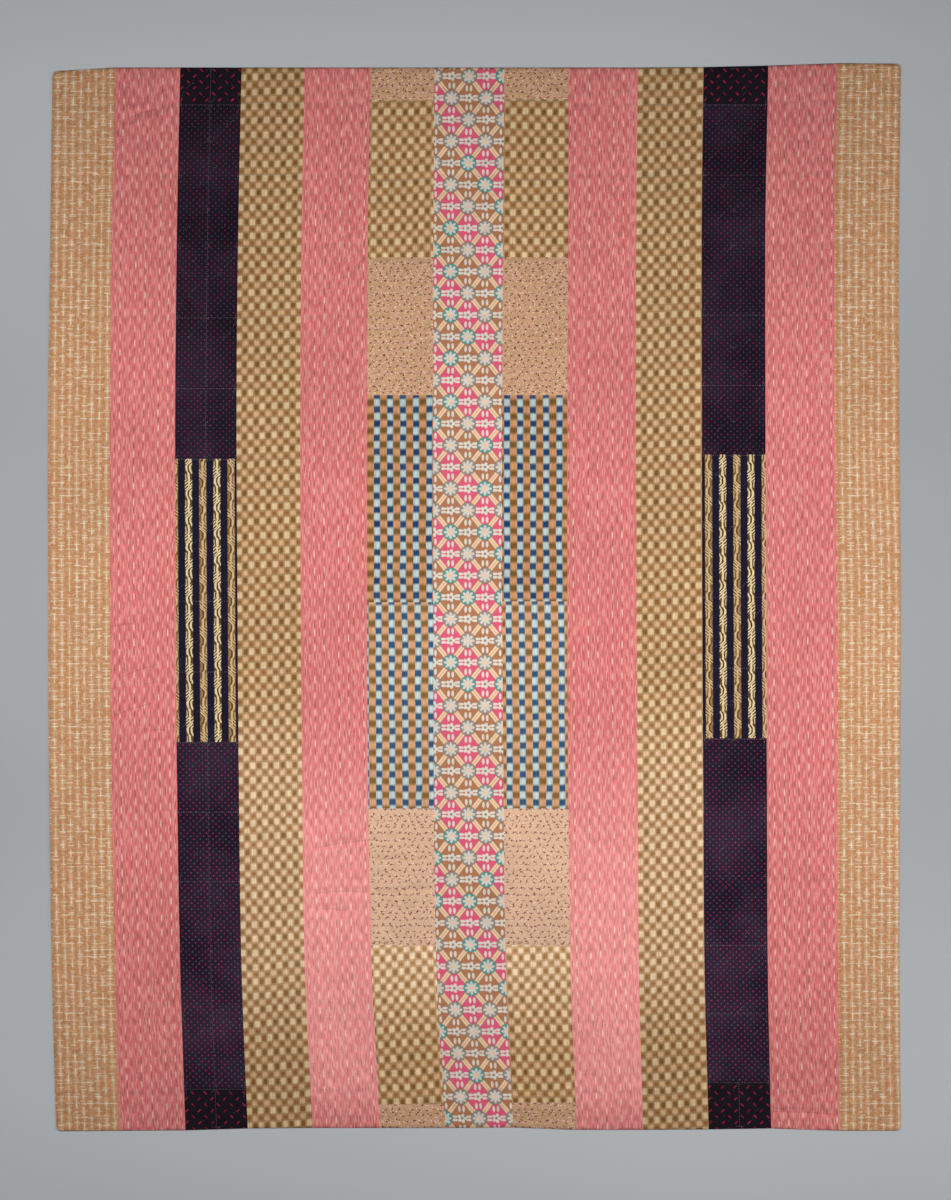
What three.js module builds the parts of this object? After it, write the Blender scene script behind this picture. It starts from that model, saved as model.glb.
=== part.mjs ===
// Strip quilt lying flat and face up, in millimetres, +Z up.
// Thirteen long strips run along Y. Four of them are pieced from shorter lengths of cloth.
// Every cut piece is its own solid: a pad of quilted cloth with a flat underside, whose top
// rises between lines of stitching that form a column of eight-spoked webs down each strip.

import * as THREE from 'three';

// Thickness of the quilted cloth
const EDGE_THICK = 2.4;
const SEAM_THICK = 2.7;
const STITCH_THICK = 3.0;
const INNER_PUFF_THICK = 5.4;
const OUTER_PUFF_THICK = 4.8;
const PUFF_UNEVENNESS = 0.7;

// Clear space left between neighbouring pieces
const PIECE_GAP = 0.3;

// How far each outer corner of the quilt is drawn in
const CORNER_DRAW_IN = 4;

// One web is two half webs long, and fifteen webs fill a strip
const HALF_WEBS_PER_STRIP = 30;

// Sizes inside a web, as shares of half the strip's width and of half the web's length
const RING_SHARE = 0.82;
const INNER_PUFF_SHARE = 0.52;

// Heights up the quilt, from its middle, at which each seam's place across is given
const STATIONS = [1130, 800, 400, 0, -400, -800, -1130];

// The two long edges and the twelve long seams between them, from left to right.
// top and bottom are the heights of its ends, and across is its place at each station.
const SEAMS = [
  { name: 'left edge', top: 1115, bottom: -1131, across: [-895, -899, -904, -904, -902, -896, -887] },
  { name: 'tan to pink, left', top: 1123, bottom: -1130, across: [-762, -768, -773, -773, -769, -762, -753] },
  { name: 'pink to dark, left', top: 1123, bottom: -1129, across: [-624, -631, -635, -634, -631, -624, -613] },
  { name: 'dark to check, left', top: 1123, bottom: -1125, across: [-494, -501, -505, -503, -500, -494, -481] },
  { name: 'check to pink, left', top: 1123, bottom: -1124, across: [-360, -367, -370, -369, -366, -360, -343] },
  { name: 'pink to pieced, left', top: 1123, bottom: -1124, across: [-221, -226, -228, -228, -226, -218, -199] },
  { name: 'pieced to centre, left', top: 1123, bottom: -1124, across: [-85, -88, -88, -88, -87, -81, -62] },
  { name: 'centre to pieced, right', top: 1123, bottom: -1123, across: [63, 60, 58, 58, 61, 66, 82] },
  { name: 'pieced to pink, right', top: 1123, bottom: -1128, across: [199, 198, 196, 196, 198, 203, 216] },
  { name: 'pink to check, right', top: 1123, bottom: -1128, across: [346, 342, 341, 343, 345, 348, 357] },
  { name: 'check to dark, right', top: 1124, bottom: -1127, across: [485, 481, 481, 482, 484, 487, 496] },
  { name: 'dark to pink, right', top: 1127, bottom: -1125, across: [622, 616, 616, 617, 619, 621, 628] },
  { name: 'pink to tan, right', top: 1132, bottom: -1130, across: [769, 763, 763, 769, 769, 770, 774] },
  { name: 'right edge', top: 1131, bottom: -1130, across: [903, 899, 899, 903, 901, 900, 903] },
];

// Cloth colours
const CLOTHS = {
  tan_plaid: 0xc59a75,
  pink_slub: 0xd47f7a,
  pin_dot: 0x2c1d2b,
  dash_print: 0x24141e,
  scroll_stripe: 0x63544c,
  brown_check: 0xb08a63,
  sprig_print: 0xc49b7c,
  blue_check: 0x91877a,
  pale_blue_check: 0xa29587,
  star_print: 0xc29e94,
};

// A pieced strip lists its lengths from the top: the cloth, how many half webs it spans
// and the height of the cross seam at its foot. The last length ends at the strip's own end.
function darkStrip(seamHeights) {
  return [
    { cloth: 'dash_print', halfWebs: 1, foot: seamHeights[0] },
    { cloth: 'pin_dot', halfWebs: 10, foot: seamHeights[1] },
    { cloth: 'scroll_stripe', halfWebs: 8, foot: seamHeights[2] },
    { cloth: 'pin_dot', halfWebs: 10, foot: seamHeights[3] },
    { cloth: 'dash_print', halfWebs: 1 },
  ];
}

function piecedStrip(seamHeights) {
  return [
    { cloth: 'sprig_print', halfWebs: 1, foot: seamHeights[0] },
    { cloth: 'brown_check', halfWebs: 4, foot: seamHeights[1] },
    { cloth: 'sprig_print', halfWebs: 4, foot: seamHeights[2] },
    { cloth: 'blue_check', halfWebs: 6, foot: seamHeights[3] },
    { cloth: 'pale_blue_check', halfWebs: 6, foot: seamHeights[4] },
    { cloth: 'sprig_print', halfWebs: 4, foot: seamHeights[5] },
    { cloth: 'brown_check', halfWebs: 4, foot: seamHeights[6] },
    { cloth: 'sprig_print', halfWebs: 1 },
  ];
}

function wholeStrip(cloth) {
  return [{ cloth, halfWebs: HALF_WEBS_PER_STRIP }];
}

// The thirteen strips from left to right
const STRIPS = [
  { name: 'outer_tan_left', lengths: wholeStrip('tan_plaid') },
  { name: 'outer_pink_left', lengths: wholeStrip('pink_slub') },
  { name: 'dark_left', lengths: darkStrip([1046, 294, -306, -1040]) },
  { name: 'check_left', lengths: wholeStrip('brown_check') },
  { name: 'inner_pink_left', lengths: wholeStrip('pink_slub') },
  { name: 'pieced_left', lengths: piecedStrip([1054, 721, 429, -10, -447, -737, -1074]) },
  { name: 'centre', lengths: wholeStrip('star_print') },
  { name: 'pieced_right', lengths: piecedStrip([1056, 721, 429, -8, -447, -737, -1070]) },
  { name: 'inner_pink_right', lengths: wholeStrip('pink_slub') },
  { name: 'check_right', lengths: wholeStrip('brown_check') },
  { name: 'dark_right', lengths: darkStrip([1046, 303, -298, -1026]) },
  { name: 'outer_pink_right', lengths: wholeStrip('pink_slub') },
  { name: 'outer_tan_right', lengths: wholeStrip('tan_plaid') },
];

// A seam's place across at any height: a smooth curve through its stations
function seamAcross(seam, height) {
  const last = STATIONS.length - 1;
  let i = 0;
  while (i < last - 1 && height < STATIONS[i + 1]) {
    i += 1;
  }
  const span = STATIONS[i] - STATIONS[i + 1];
  const t = (STATIONS[i] - height) / span;
  const slopeAt = (k) => {
    const before = Math.max(k - 1, 0);
    const after = Math.min(k + 1, last);
    return (seam.across[after] - seam.across[before]) / (STATIONS[before] - STATIONS[after]);
  };
  const t2 = t * t;
  const t3 = t2 * t;
  return (2 * t3 - 3 * t2 + 1) * seam.across[i]
    + (t3 - 2 * t2 + t) * span * slopeAt(i)
    + (3 * t2 - 2 * t3) * seam.across[i + 1]
    + (t3 - t2) * span * slopeAt(i + 1);
}

// A repeatable value from 0 to 1 that differs from puff to puff
function unevenness(a, b, c) {
  const wave = Math.sin(a * 12.9898 + b * 78.233 + c * 37.719) * 43758.5453;
  return wave - Math.floor(wave);
}

// One cut piece: the strip's length between two cross seams or ends of the quilt
class Piece {
  constructor(stripIndex, length, head, firstHalfWeb) {
    this.left = SEAMS[stripIndex];
    this.right = SEAMS[stripIndex + 1];
    this.stripIndex = stripIndex;
    this.firstHalfWeb = firstHalfWeb;
    this.halfWebs = length.halfWebs;
    this.atTop = firstHalfWeb === 0;
    this.atBottom = firstHalfWeb + length.halfWebs === HALF_WEBS_PER_STRIP;
    this.head = head;
    this.foot = length.foot;
    this.points = [];
    this.triangles = [];
  }

  // Height of a point by its share across and its row, counted in half webs from the head
  heightAt(share, row) {
    const headHeight = this.atTop
      ? THREE.MathUtils.lerp(this.left.top, this.right.top, share)
      : this.head - PIECE_GAP / 2;
    const footHeight = this.atBottom
      ? THREE.MathUtils.lerp(this.left.bottom, this.right.bottom, share)
      : this.foot + PIECE_GAP / 2;
    return THREE.MathUtils.lerp(headHeight, footHeight, row / this.halfWebs);
  }

  // A point by its place across, from -1 at the left seam to 1 at the right one, its row and thickness
  addPoint(across, row, thickness) {
    const share = (across + 1) / 2;
    const y = this.heightAt(share, row);
    const isLeftEdge = this.stripIndex === 0;
    const isRightEdge = this.stripIndex === STRIPS.length - 1;
    const leftX = seamAcross(this.left, y) + (isLeftEdge ? 0 : PIECE_GAP / 2);
    const rightX = seamAcross(this.right, y) - (isRightEdge ? 0 : PIECE_GAP / 2);
    const point = new THREE.Vector3(THREE.MathUtils.lerp(leftX, rightX, share), y, thickness);
    const atEnd = (this.atTop && row === 0) || (this.atBottom && row === this.halfWebs);
    const atSide = (isLeftEdge && across === -1) || (isRightEdge && across === 1);
    if (atEnd && atSide) {
      point.x -= Math.sign(across) * CORNER_DRAW_IN;
      point.y -= Math.sign(y) * CORNER_DRAW_IN;
    }
    this.points.push(point);
    return this.points.length - 1;
  }

  isQuiltEnd(row) {
    return (this.atTop && row === 0) || (this.atBottom && row === this.halfWebs);
  }

  // A row across a web's middle, where the level spokes lie, or across the meeting of two webs
  addRow(row) {
    const throughMiddle = (this.firstHalfWeb + row) % 2 === 1;
    const end = this.isQuiltEnd(row);
    const leftThick = end || this.stripIndex === 0 ? EDGE_THICK : SEAM_THICK;
    const rightThick = end || this.stripIndex === STRIPS.length - 1 ? EDGE_THICK : SEAM_THICK;
    const stitchThick = end ? EDGE_THICK : STITCH_THICK;
    const besideThick = (side) => {
      if (throughMiddle || end) {
        return stitchThick;
      }
      return this.puff(OUTER_PUFF_THICK, row, side);
    };
    const beside = throughMiddle ? RING_SHARE : 0.5;
    return {
      throughMiddle,
      row,
      top: [
        this.addPoint(-1, row, leftThick),
        this.addPoint(-beside, row, besideThick(-1)),
        this.addPoint(0, row, stitchThick),
        this.addPoint(beside, row, besideThick(1)),
        this.addPoint(1, row, rightThick),
      ],
      base: end
        ? [-1, -beside, 0, beside, 1].map((across) => this.addPoint(across, row, 0))
        : [this.addPoint(-1, row, 0), this.addPoint(1, row, 0)],
    };
  }

  puff(thickness, row, side) {
    const share = unevenness(this.stripIndex, this.firstHalfWeb + row, side);
    return thickness + PUFF_UNEVENNESS * (share - 0.5);
  }

  addTriangle(a, b, c, flip) {
    this.triangles.push(...(flip ? [a, c, b] : [a, b, c]));
  }

  // The quilted top between a web's middle row and the row where it meets the next web
  addHalfWeb(middle, meeting) {
    const rowAt = (share) => THREE.MathUtils.lerp(middle.row, meeting.row, share);
    const diagonal = RING_SHARE * Math.SQRT1_2;
    const ringLeft = this.addPoint(-diagonal, rowAt(diagonal), STITCH_THICK);
    const ringRight = this.addPoint(diagonal, rowAt(diagonal), STITCH_THICK);
    const ringFar = this.addPoint(0, rowAt(RING_SHARE), STITCH_THICK);
    const flip = middle.row < meeting.row;
    const centre = middle.top[2];

    // Four wedges between the spokes, each with its puff in the middle
    const rim = [middle.top[3], ringRight, ringFar, ringLeft, middle.top[1]];
    for (let i = 0; i < 4; i += 1) {
      const angle = THREE.MathUtils.degToRad(22.5 + 45 * i);
      const across = INNER_PUFF_SHARE * Math.cos(angle);
      const along = rowAt(INNER_PUFF_SHARE * Math.sin(angle));
      const puff = this.addPoint(across, along, this.puff(INNER_PUFF_THICK, along, i));
      this.addTriangle(centre, rim[i], puff, flip);
      this.addTriangle(rim[i], rim[i + 1], puff, flip);
      this.addTriangle(rim[i + 1], centre, puff, flip);
    }

    // Outside the ring, beside the seams
    this.addTriangle(middle.top[1], ringLeft, meeting.top[0], flip);
    this.addTriangle(middle.top[1], meeting.top[0], middle.top[0], flip);
    this.addTriangle(middle.top[3], middle.top[4], meeting.top[4], flip);
    this.addTriangle(middle.top[3], meeting.top[4], ringRight, flip);

    // Outside the ring, towards the next web
    this.addTriangle(ringLeft, ringFar, meeting.top[1], flip);
    this.addTriangle(ringFar, meeting.top[2], meeting.top[1], flip);
    this.addTriangle(meeting.top[0], ringLeft, meeting.top[1], flip);
    this.addTriangle(ringFar, ringRight, meeting.top[3], flip);
    this.addTriangle(ringRight, meeting.top[4], meeting.top[3], flip);
    this.addTriangle(meeting.top[2], ringFar, meeting.top[3], flip);
  }

  // The two long walls and the underside between a row and the next one down
  addWallsAndBase(upper, lower) {
    const sides = [
      { top: 0, base: 'first', flip: true },
      { top: 4, base: 'last', flip: false },
    ];
    const baseEnd = (row, which) => (which === 'first' ? row.base[0] : row.base[row.base.length - 1]);
    for (const side of sides) {
      const upperBase = baseEnd(upper, side.base);
      const lowerBase = baseEnd(lower, side.base);
      this.addTriangle(upper.top[side.top], lower.top[side.top], lowerBase, side.flip);
      this.addTriangle(upper.top[side.top], lowerBase, upperBase, side.flip);
    }
    // The underside fans out from the row that has only its two end points
    const outline = lower.base.length > 2
      ? [...upper.base, ...[...lower.base].reverse()]
      : [lower.base[0], ...upper.base, lower.base[1]];
    for (let i = 1; i < outline.length - 1; i += 1) {
      this.addTriangle(outline[0], outline[i], outline[i + 1], false);
    }
  }

  // The wall across the strip at the piece's head or foot
  addEndWall(row, flip) {
    if (row.base.length === row.top.length) {
      for (let i = 0; i < row.top.length - 1; i += 1) {
        this.addTriangle(row.top[i], row.base[i], row.base[i + 1], flip);
        this.addTriangle(row.top[i], row.base[i + 1], row.top[i + 1], flip);
      }
      return;
    }
    const [baseLeft, baseRight] = row.base;
    this.addTriangle(baseLeft, baseRight, row.top[4], flip);
    for (let i = 4; i > 0; i -= 1) {
      this.addTriangle(baseLeft, row.top[i], row.top[i - 1], flip);
    }
  }

  geometry() {
    const rows = [];
    for (let row = 0; row <= this.halfWebs; row += 1) {
      rows.push(this.addRow(row));
    }
    for (let row = 0; row < this.halfWebs; row += 1) {
      const [upper, lower] = [rows[row], rows[row + 1]];
      const [middle, meeting] = upper.throughMiddle ? [upper, lower] : [lower, upper];
      this.addHalfWeb(middle, meeting);
      this.addWallsAndBase(upper, lower);
    }
    this.addEndWall(rows[0], true);
    this.addEndWall(rows[this.halfWebs], false);
    const geometry = new THREE.BufferGeometry().setFromPoints(this.points);
    geometry.setIndex(this.triangles);
    geometry.computeVertexNormals();
    return geometry;
  }
}

function clothMaterial(cloth) {
  return new THREE.MeshStandardMaterial({ color: CLOTHS[cloth], roughness: 0.9, metalness: 0 });
}

// A strip's pieces from its top to its foot
function makeStrip(strip, stripIndex) {
  const group = new THREE.Group();
  let head;
  let halfWebsDone = 0;
  strip.lengths.forEach((length, i) => {
    const piece = new Piece(stripIndex, length, head, halfWebsDone);
    const mesh = new THREE.Mesh(piece.geometry(), clothMaterial(length.cloth));
    mesh.name = strip.lengths.length === 1 ? strip.name : `${strip.name}_${i + 1}_${length.cloth}`;
    group.add(mesh);
    head = length.foot;
    halfWebsDone += length.halfWebs;
  });
  return group;
}

const quilt = new THREE.Group();
STRIPS.forEach((strip, stripIndex) => quilt.add(makeStrip(strip, stripIndex)));

// The origin stays at the middle of the underside
const middle = new THREE.Box3().setFromObject(quilt).getCenter(new THREE.Vector3());
quilt.position.set(-middle.x, -middle.y, 0);

export default quilt;
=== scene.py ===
import math

import bmesh
import bpy
import numpy as np
from mathutils import Matrix, Vector


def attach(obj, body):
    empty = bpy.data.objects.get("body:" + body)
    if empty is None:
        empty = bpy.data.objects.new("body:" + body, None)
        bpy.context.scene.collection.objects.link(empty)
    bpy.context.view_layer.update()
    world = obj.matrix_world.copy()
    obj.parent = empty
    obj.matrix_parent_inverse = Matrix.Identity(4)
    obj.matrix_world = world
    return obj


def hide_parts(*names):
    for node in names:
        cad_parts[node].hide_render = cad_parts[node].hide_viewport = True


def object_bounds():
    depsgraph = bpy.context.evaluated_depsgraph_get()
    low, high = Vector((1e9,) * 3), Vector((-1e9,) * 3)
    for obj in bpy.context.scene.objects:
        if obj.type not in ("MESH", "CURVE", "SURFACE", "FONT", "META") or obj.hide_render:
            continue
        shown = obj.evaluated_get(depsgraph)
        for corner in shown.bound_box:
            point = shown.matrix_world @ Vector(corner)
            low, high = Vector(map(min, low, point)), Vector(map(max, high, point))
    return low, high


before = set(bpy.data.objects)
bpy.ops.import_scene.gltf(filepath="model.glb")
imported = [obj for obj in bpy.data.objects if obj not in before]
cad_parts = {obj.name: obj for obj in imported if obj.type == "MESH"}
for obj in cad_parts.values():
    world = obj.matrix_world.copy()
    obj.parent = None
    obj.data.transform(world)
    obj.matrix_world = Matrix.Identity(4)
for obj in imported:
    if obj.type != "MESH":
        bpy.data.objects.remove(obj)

cad_low, cad_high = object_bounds()

# The studio: a pale grey floor that the quilt lies on face up, two long soft lamps at its sides
# and a wide one overhead. The camera looks straight down from above the middle of the quilt.
FLOOR_GREY = (0.36, 0.376, 0.391)
# Painted light: the paler floor grey past the head and foot of the quilt. Painted shade: the darker
# right side.
FLOOR_GREY_WITH_PAINTED_LIGHT = (0.555, 0.582, 0.603)
FLOOR_ENDS = (0.3, 1.3)
FLOOR_RIGHT_SIDE = (0.3, 1.1)
RIGHT_SIDE_PAINTED_SHADE = 0.92
FLOOR_SIZE = 16.0
FLOOR_DROP = 0.0004
CAMERA_PLACE = (0.0022, -0.0058, 6.0)
PICTURE_HEIGHT = 2.544
SENSOR = 36.0


def plug(tree, value, socket):
    """Gives a node's socket its value: another node's output, a colour or a number."""
    value = getattr(value, "socket", value)
    if isinstance(value, bpy.types.NodeSocket):
        tree.links.new(value, socket)
    elif isinstance(value, tuple):
        socket.default_value = (*value, 1) if len(value) == 3 else value
    else:
        socket.default_value = value


def add_node(tree, kind, inputs, **settings):
    """A new node of a material, with its settings made and its inputs plugged."""
    node = tree.nodes.new("ShaderNode" + kind)
    for name, value in settings.items():
        setattr(node, name, value)
    for name, value in inputs.items():
        plug(tree, value, node.inputs[name])
    return node


def ranging(tree, value, start, end, low, high, curve="SMOOTHSTEP"):
    """A number that goes from low to high as value goes from start to end."""
    inputs = {"Value": value, "From Min": start, "From Max": end, "To Min": low, "To Max": high}
    return add_node(tree, "MapRange", inputs, interpolation_type=curve).outputs["Result"]


def mix_floor_paint():
    """Grey with painted light that makes it paler past the head and foot of the quilt, and painted
    shade that makes it a little darker at its right.
    """
    paint = bpy.data.materials.new("floor_paint")
    paint.use_nodes = True
    tree = paint.node_tree
    place = add_node(tree, "TexCoord", {}).outputs["Object"]
    split = add_node(tree, "SeparateXYZ", {0: place})
    from_middle = add_node(tree, "Math", {0: split.outputs["Y"]}, operation="ABSOLUTE").outputs[0]
    # Painted light: paler past the head and foot of the quilt.
    paler = ranging(tree, from_middle, *FLOOR_ENDS, 0, 1)
    grey = add_node(tree, "Mix", {0: paler, 6: FLOOR_GREY, 7: FLOOR_GREY_WITH_PAINTED_LIGHT}, data_type="RGBA")
    # Painted shade: a little darker at the right.
    darker = ranging(tree, split.outputs["X"], *FLOOR_RIGHT_SIDE, 1, RIGHT_SIDE_PAINTED_SHADE)
    shaded = add_node(tree, "VectorMath", {0: grey.outputs[2], "Scale": darker}, operation="SCALE")
    shader = tree.nodes["Principled BSDF"]
    plug(tree, shaded.outputs[0], shader.inputs["Base Color"])
    plug(tree, 0.9, shader.inputs["Roughness"])
    return paint


def put(name, data):
    """A new object in the scene."""
    thing = bpy.data.objects.new(name, data)
    bpy.context.scene.collection.objects.link(thing)
    return thing


def lay_floor():
    bm = bmesh.new()
    bmesh.ops.create_grid(bm, x_segments=1, y_segments=1, size=FLOOR_SIZE / 2)
    bmesh.ops.translate(bm, verts=bm.verts, vec=(0, 0, -FLOOR_DROP))
    mesh = bpy.data.meshes.new("floor")
    bm.to_mesh(mesh)
    bm.free()
    mesh.materials.append(mix_floor_paint())
    put("floor", mesh)


def hang_lamp(name, place, size, power):
    """A soft rectangular lamp that shines at the middle of the quilt."""
    light = bpy.data.lights.new(name, "AREA")
    light.shape = "RECTANGLE"
    light.size, light.size_y = size
    light.energy = power
    lamp = put(name, light)
    lamp.location = place
    lamp.rotation_euler = (-Vector(place)).to_track_quat("-Z", "Y").to_euler()


lay_floor()
hang_lamp("overhead_lamp", place=(0, 0, 1.8), size=(3.4, 0.4), power=38)
hang_lamp("left_lamp", place=(-2.7, 0.2, 1.7), size=(1.0, 0.9), power=18.5)
hang_lamp("right_lamp", place=(2.6, -0.6, 1.7), size=(1.0, 0.9), power=29)

world = bpy.data.worlds.new("studio_air")
world.use_nodes = True
air = world.node_tree.nodes["Background"]
air.inputs["Color"].default_value = (0.95, 0.97, 1.0, 1)
air.inputs["Strength"].default_value = 0.06
bpy.context.scene.world = world
bpy.context.scene.view_settings.view_transform = "Standard"

lens = bpy.data.cameras.new("camera")
lens.sensor_width = SENSOR
lens.lens = SENSOR * CAMERA_PLACE[2] / PICTURE_HEIGHT
lens.clip_end = 60
camera = put("camera", lens)
camera.location = CAMERA_PLACE
bpy.context.scene.camera = camera

# Sprig prints: eight lengths of tan cotton in the two pieced strips, cut with shears and seamed
# to their neighbours by hand. Every cut piece of the quilt is made by the same steps: cut to its
# seams, quilted through all its layers, and given its printed cloth.
MM = 0.001
SEAM_GAP_CLOSED = 0.12 * MM
CORNER_ROUND = 13 * MM
MESH_STEP = 4.6 * MM
SEAM_STEPS = [0, 1.1 * MM, 3.0 * MM, 6.0 * MM]
NODE_ROW_GAP = 30 * MM
NEAR_EDGE = 30 * MM

EDGE_HEIGHT = 1.1 * MM
SEAM_HEIGHT = 2.3 * MM
STITCH_HEIGHT = 2.6 * MM
INNER_PUFF_HEIGHT = 5.3 * MM
OUTER_PUFF_HEIGHT = 4.8 * MM
PUFF_REACH = 7.0 * MM
PUFF_CURVE = 1.4
SEAM_REACH = 5.5 * MM
EDGE_REACH = 3.0 * MM
EDGE_CURVE = 1.2
SWELLS = [(46 * MM, 5, 0.45 * MM), (130 * MM, 11, 0.25 * MM)]
HEM_STITCH_FROM_END = 18 * MM
RING_AT_DIAGONALS = 0.82
RING_AT_SPOKES = 0.95
DIAGONALS_END_AT = RING_AT_DIAGONALS * math.sqrt(0.5)


class CutPiece:
    """The cut shape of one piece of the quilt, read from its CAD node, with its quilting lines."""

    def __init__(self, node):
        self.node = node
        vertices = np.array([v.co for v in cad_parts[node].data.vertices])
        base = vertices[vertices[:, 2] < 0.1 * MM]
        base = base[np.argsort(-base[:, 1])]
        rows = np.split(base, np.flatnonzero(np.diff(base[:, 1]) < -NODE_ROW_GAP) + 1)
        rows = [row[np.argsort(row[:, 0])] for row in rows]
        self.at_top = rows[0][0, 1] > cad_high.y - NEAR_EDGE
        self.at_bottom = rows[-1][0, 1] < cad_low.y + NEAR_EDGE
        self.left = np.array([row[0, :2] for row in rows])
        self.right = np.array([row[-1, :2] for row in rows])
        self.at_left_edge = self.left[:, 0].min() < cad_low.x + NEAR_EDGE
        self.at_right_edge = self.right[:, 0].max() > cad_high.x - NEAR_EDGE
        for end, inward, is_end in [(0, 1, self.at_top), (-1, -1, self.at_bottom)]:
            if is_end:
                self.square_up(rows[end], end, inward)
        self.row_heights = (self.left[:, 1] + self.right[:, 1]) / 2

    def square_up(self, row, end, inward):
        """Puts back the true end of a row whose outer corner is drawn in."""
        points = np.unique(np.round(row[:, :2], 6), axis=0)
        beside_left, middle, beside_right = points[1], points[2], points[3]
        for side, beside in [(self.left, beside_left), (self.right, beside_right)]:
            full_height = 2 * beside[1] - middle[1]
            if abs(side[end, 1] - full_height) > 1 * MM:
                side[end, 0] = 2 * side[end + inward, 0] - side[end + 2 * inward, 0]
            side[end, 1] = full_height

    def left_at(self, height):
        return np.interp(height, self.left[::-1, 1], self.left[::-1, 0])

    def right_at(self, height):
        return np.interp(height, self.right[::-1, 1], self.right[::-1, 0])

    def width(self):
        return float(np.mean(self.right[:, 0] - self.left[:, 0]))

    def length(self):
        return float(self.row_heights[0] - self.row_heights[-1])

    def webs(self):
        """Each half web as its centre height and signed half length."""
        found = []
        for i in range(int(self.at_top), len(self.row_heights), 2):
            for j in (i - 1, i + 1):
                if 0 <= j < len(self.row_heights):
                    found.append((self.row_heights[i], self.row_heights[j]))
        return found


def soft_waves(across, height, size, seed):
    """Smooth random swells from -1 to 1, each about as wide as size."""
    lattice = np.random.default_rng(seed).uniform(-1, 1, (80, 80))
    x = across / size + 37.0
    y = height / size + 41.0
    column, row = np.floor(x).astype(int), np.floor(y).astype(int)
    tx, ty = x - column, y - row
    tx, ty = tx * tx * (3 - 2 * tx), ty * ty * (3 - 2 * ty)
    column, row = column % 79, row % 79
    low = lattice[row, column] * (1 - tx) + lattice[row, column + 1] * tx
    high = lattice[row + 1, column] * (1 - tx) + lattice[row + 1, column + 1] * tx
    return low * (1 - ty) + high * ty


# The main creases of the cloth: where each starts and ends on the quilt, and how deep it is.
CREASES_AT_LEFT_EDGE = [
    ((-0.764, -0.252), (-0.679, -0.224), 2.5 * MM),
    ((-0.700, -0.186), (-0.658, -0.180), 2.0 * MM),
    ((-0.770, -0.063), (-0.713, -0.057), 2.0 * MM),
    ((-0.694, -0.286), (-0.654, -0.281), 2.0 * MM),
    ((-0.752, -0.171), (-0.668, -0.142), 2.2 * MM),
    ((-0.734, 1.014), (-0.669, 1.035), 2.0 * MM),
]
CREASES_LEFT_OF_MIDDLE = [
    ((-0.338, -0.531), (-0.190, -0.512), 2.8 * MM),
    ((-0.338, -0.627), (-0.228, -0.625), 2.5 * MM),
    ((-0.177, -0.627), (-0.098, -0.616), 2.2 * MM),
    ((-0.334, -0.661), (-0.277, -0.665), 2.0 * MM),
    ((-0.211, -0.557), (-0.139, -0.557), 2.0 * MM),
]
CREASES_AT_RIGHT_EDGE = [((0.627, -1.090), (0.771, -1.098), 2.3 * MM)]
CREASES = CREASES_AT_LEFT_EDGE + CREASES_LEFT_OF_MIDDLE + CREASES_AT_RIGHT_EDGE
CREASE_WIDTH = 6.5 * MM
CREASE_BOW = 3 * MM
CREASE_FADES_OVER = 3 * CREASE_WIDTH
RIDGE_FROM_CREASE = 2.2 * CREASE_WIDTH
RIDGE_SHARE = 0.45


def crease_run(start, end, x, y):
    """How far a place is along the line of a crease and how far off it, and the line's length."""
    (x0, y0), (x1, y1) = start, end
    length = math.hypot(x1 - x0, y1 - y0)
    ahead_x, ahead_y = (x1 - x0) / length, (y1 - y0) / length
    along = (x - x0) * ahead_x + (y - y0) * ahead_y
    off = (y - y0) * ahead_x - (x - x0) * ahead_y
    return along, off, length


def crease_depth(across, height):
    """How far the creases lower the cloth, with a slight ridge along each side."""
    lowered = np.zeros_like(across)
    for start, end, depth in CREASES:
        along, off, length = crease_run(start, end, across, height)
        off = off - CREASE_BOW * np.sin(math.pi * np.clip(along / length, 0, 1))
        past = np.maximum(np.maximum(-along, along - length), 0)
        fading = np.exp(-(past / CREASE_FADES_OVER) ** 2)
        trough = np.exp(-(off / CREASE_WIDTH) ** 2)
        ridge = np.exp(-((np.abs(off) - RIDGE_FROM_CREASE) / CREASE_WIDTH) ** 2)
        lowered += depth * fading * (trough - RIDGE_SHARE * ridge)
    return lowered


def ring_share(turn):
    """How far out the lobed ring of a web is, as a share of its half width and half length."""
    return RING_AT_DIAGONALS + (RING_AT_SPOKES - RING_AT_DIAGONALS) * np.abs(np.cos(2 * turn))


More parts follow.
